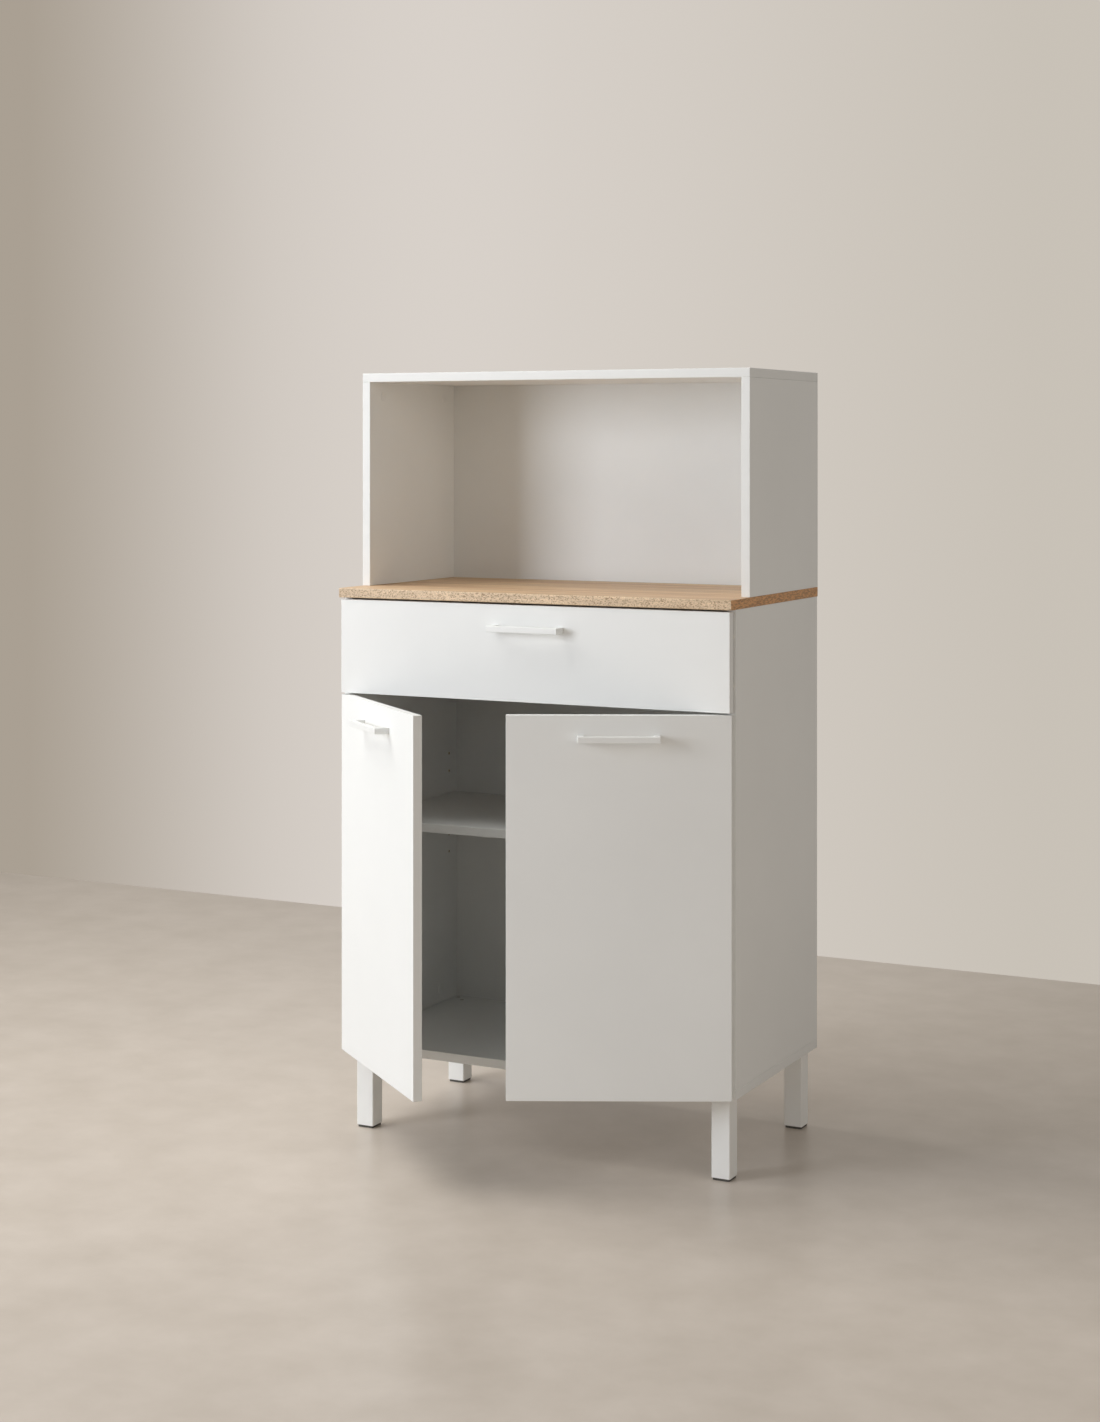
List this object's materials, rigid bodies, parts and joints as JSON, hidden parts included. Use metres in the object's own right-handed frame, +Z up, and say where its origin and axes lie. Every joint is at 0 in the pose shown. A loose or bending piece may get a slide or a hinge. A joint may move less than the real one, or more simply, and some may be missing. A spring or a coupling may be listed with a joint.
{
  "type": "kitchen cabinet",
  "caption": "Freestanding kitchen cabinet with an open hutch over an oak-look top, a wide drawer on roller runners and a cupboard with hinged doors, on square legs.",
  "frame": {"origin": "on the floor, under the middle of the whole cabinet as it stands with its doors ajar", "axes": "+Z up; the drawer and the doors face -Y; +X is to the right of a person who faces them"},
  "size_m": [0.72, 0.6106, 1.29],
  "materials": {
    "white_board": "white melamine, satin",
    "oak_top": "oak-look laminate, satin",
    "white_hardboard": "white lacquered hardboard",
    "white_leg": "white lacquer, satin",
    "grey_glide": "matte",
    "white_handle": "white powder coat",
    "white_runner": "white powder coat",
    "steel": "nickel-plated",
    "nylon": "natural white",
    "beech": "bare wood"
  },
  "bodies": {
    "carcass": {"side_left": "white_board", "side_right": "white_board", "bottom_board": "white_board", "countertop": "oak_top", "front_rail": "white_board", "shelf": "white_board", "base_back": "white_hardboard", "hutch_side_left": "white_board", "hutch_side_right": "white_board", "hutch_top": "white_board", "hutch_back": "white_hardboard", "leg_front_left": "white_leg", "leg_front_right": "white_leg", "leg_back_left": "white_leg", "leg_back_right": "white_leg", "leg_glides": "grey_glide", "leg_screws": "steel", "hutch_screws": "steel", "cam_bolts": "steel", "cam_housings": "steel", "dowels": "beech", "back_nails": "steel", "shelf_pins": "steel", "buffers": "nylon", "hinge_plates": "steel", "hinge_arm_left_upper": "steel", "hinge_arm_left_lower": "steel", "hinge_arm_right_upper": "steel", "hinge_arm_right_lower": "steel", "hinge_screws": "steel", "cabinet_runner_left": "white_runner", "cabinet_runner_right": "white_runner", "runner_screws": "steel"},
    "left_door": {"door_left": "white_board", "handle_left": "white_handle", "hinge_cup_left_upper": "steel", "hinge_cup_left_lower": "steel", "hinge_pins_left": "steel", "door_screws_left": "steel"},
    "right_door": {"door_right": "white_board", "handle_right": "white_handle", "hinge_cup_right_upper": "steel", "hinge_cup_right_lower": "steel", "hinge_pins_right": "steel", "door_screws_right": "steel"},
    "drawer": {"drawer_front": "white_board", "drawer_side_left": "white_board", "drawer_side_right": "white_board", "drawer_back": "white_board", "drawer_bottom": "white_hardboard", "drawer_handle": "white_handle", "drawer_runner_left": "white_runner", "drawer_runner_right": "white_runner", "drawer_screws": "steel", "drawer_cam_bolts": "steel", "drawer_cam_housings": "steel"},
    "front_roller_left": {"front_roller_left": "nylon"},
    "front_roller_right": {"front_roller_right": "nylon"},
    "rear_roller_left": {"rear_roller_left": "nylon"},
    "rear_roller_right": {"rear_roller_right": "nylon"}
  },
  "joints": [
    {"name": "left_door_hinge", "type": "hinge", "parent": "carcass", "child": "left_door", "pos_m": [-0.3502, -0.07619, 0.439], "axis": [0, 0, -1], "range_deg": [-40, 55]},
    {"name": "right_door_hinge", "type": "hinge", "parent": "carcass", "child": "right_door", "pos_m": [0.3502, -0.07619, 0.439], "axis": [0, 0, 1], "range_deg": [-26, 69]},
    {"name": "drawer_slide", "type": "slide", "parent": "carcass", "child": "drawer", "axis": [0, -1, 0], "range_m": [0, 0.26]},
    {"name": "front_roller_left_spin", "type": "hinge", "parent": "carcass", "child": "front_roller_left", "pos_m": [-0.3397, -0.05119, 0.797], "axis": [1, 0, 0], "continuous": true},
    {"name": "rear_roller_left_spin", "type": "hinge", "parent": "drawer", "child": "rear_roller_left", "pos_m": [-0.3378, 0.27281, 0.7948], "axis": [1, 0, 0], "continuous": true},
    {"name": "front_roller_right_spin", "type": "hinge", "parent": "carcass", "child": "front_roller_right", "pos_m": [0.3397, -0.05119, 0.797], "axis": [1, 0, 0], "continuous": true},
    {"name": "rear_roller_right_spin", "type": "hinge", "parent": "drawer", "child": "rear_roller_right", "pos_m": [0.3378, 0.27281, 0.7948], "axis": [1, 0, 0], "continuous": true}
  ],
  "couplings": [
    {"joint": "front_roller_left_spin", "follows": "drawer_slide", "rad_per_m": 133.33},
    {"joint": "rear_roller_left_spin", "follows": "drawer_slide", "rad_per_m": 133.33},
    {"joint": "front_roller_right_spin", "follows": "drawer_slide", "rad_per_m": 133.33},
    {"joint": "rear_roller_right_spin", "follows": "drawer_slide", "rad_per_m": 133.33}
  ]
}
